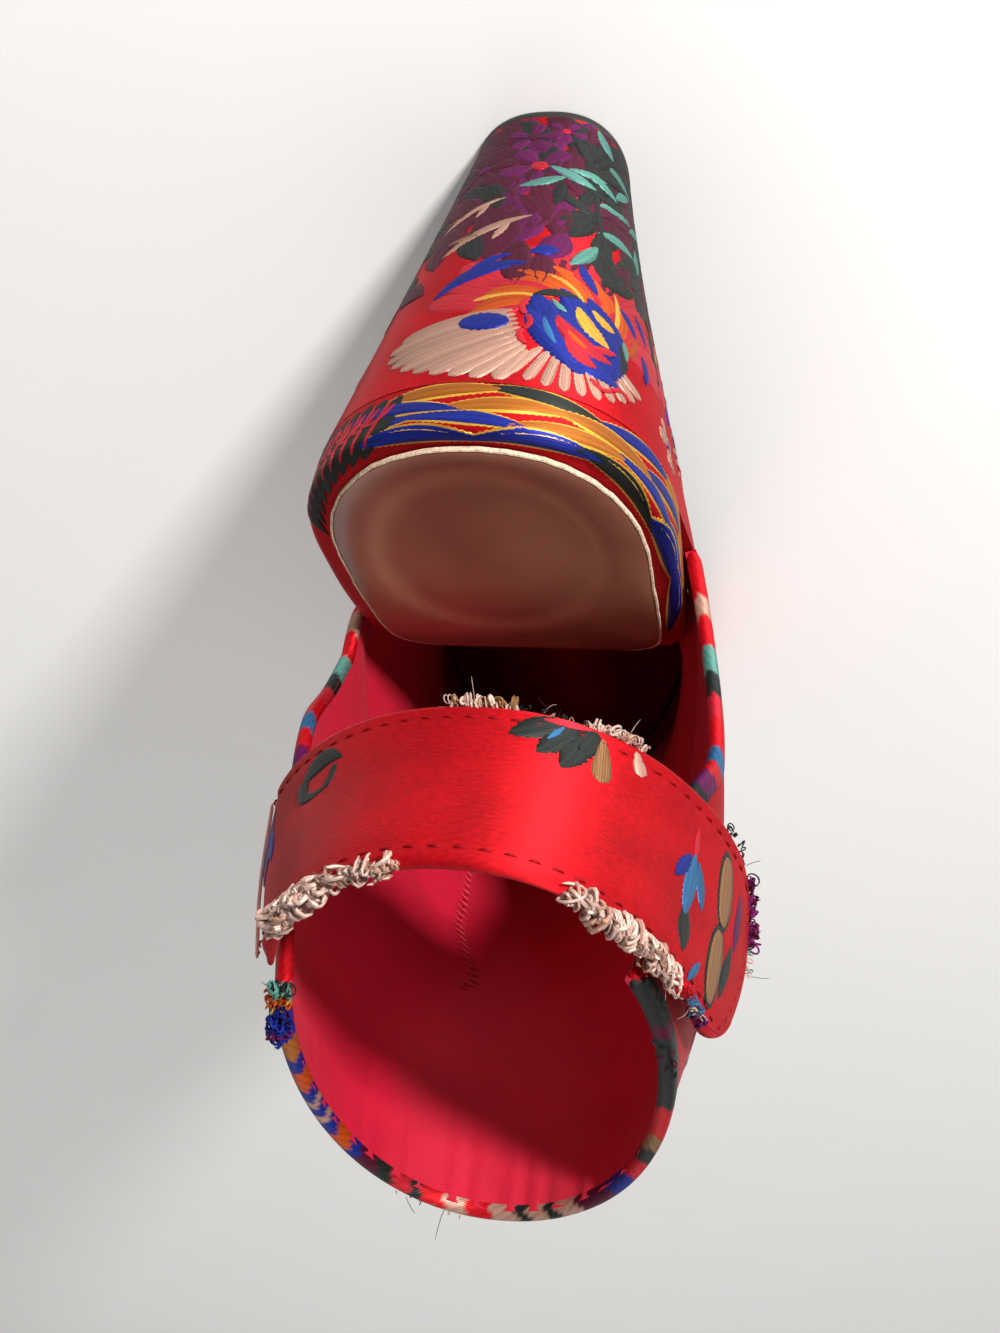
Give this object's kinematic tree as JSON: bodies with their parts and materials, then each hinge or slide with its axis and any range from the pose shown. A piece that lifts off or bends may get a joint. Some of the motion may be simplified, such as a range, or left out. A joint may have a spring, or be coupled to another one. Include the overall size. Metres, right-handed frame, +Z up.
{
  "type": "ankle strap heel",
  "caption": "Closed-toe, open-back high heel for the left foot with a tall tapered block heel and a wide ankle strap, covered in satin brocade.",
  "frame": {"origin": "on the floor, under the middle of the shoe's bounding box", "axes": "+Y towards the toe, +X towards the inner side of the foot, +Z up"},
  "size_m": [0.088, 0.215, 0.1926],
  "materials": {
    "brocade": "red satin brocade with raised floral weave",
    "strap_satin": "red satin, lightly worked",
    "sock_leather": "smooth glossy tan leather",
    "sole_resin": "dark matte sole",
    "tip_rubber": "black rubber"
  },
  "bodies": {
    "root": {"outsole": "sole_resin", "heel": "brocade", "heel_tip": "tip_rubber", "insole": "brocade", "heel_sock": "sock_leather", "upper": "brocade", "ankle_strap": "strap_satin"}
  },
  "joints": []
}
